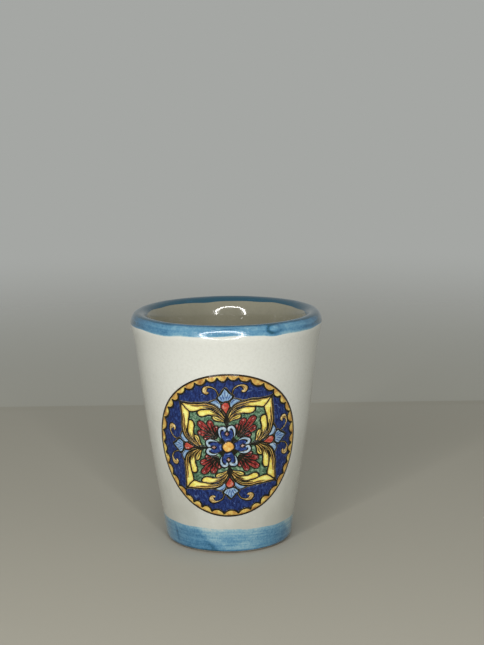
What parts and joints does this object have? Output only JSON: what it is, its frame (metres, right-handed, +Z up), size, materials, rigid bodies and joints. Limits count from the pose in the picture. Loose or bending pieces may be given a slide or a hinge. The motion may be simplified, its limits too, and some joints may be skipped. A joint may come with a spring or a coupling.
{
  "type": "shot glass",
  "caption": "Small flared ceramic cup for a measure of drink, with blue bands at lip and foot and a round painted rosette on the front.",
  "frame": {"origin": "middle of the foot, on the surface that the cup stands on", "axes": "+Z up the cup's axis; the painted rosette faces -Y; +X to its right"},
  "size_m": [0.049, 0.049, 0.06],
  "materials": {
    "biscuit_clay": "matt unglazed fired clay",
    "white_glaze": "glossy white tin glaze with fine specks",
    "inside_glaze": "glossy warm grey glaze",
    "blue_glaze": "glossy translucent blue glaze with brush marks",
    "cobalt_enamel": "glossy cobalt blue enamel with brush marks",
    "gold_enamel": "glossy ochre gold enamel",
    "yellow_enamel": "glossy yellow enamel shaded with ochre",
    "green_enamel": "glossy mottled green enamel",
    "crimson_enamel": "glossy dark red enamel",
    "pale_blue_enamel": "glossy pale blue enamel",
    "pink_enamel": "glossy pink enamel",
    "boss_enamel": "glossy orange yellow enamel",
    "scarlet_enamel": "glossy scarlet enamel",
    "black_enamel": "glossy dark brush line"
  },
  "bodies": {
    "root": {"earthenware_body": "biscuit_clay", "outer_glaze": "white_glaze", "inner_glaze": "inside_glaze", "rim_band": "blue_glaze", "foot_band": "blue_glaze", "rosette_ground": "cobalt_enamel", "border_lobes": "gold_enamel", "border_ring": "black_enamel", "leaf_frame": "yellow_enamel", "green_field": "green_enamel", "palmettes": "crimson_enamel", "flower_petals": "cobalt_enamel", "petal_curls": "pale_blue_enamel", "petal_marks": "pink_enamel", "flower_boss": "boss_enamel", "bud_petals": "pale_blue_enamel", "bud_leaflets": "pale_blue_enamel", "bud_berries": "scarlet_enamel", "scrolls": "gold_enamel", "contour_lines": "black_enamel"}
  },
  "joints": []
}
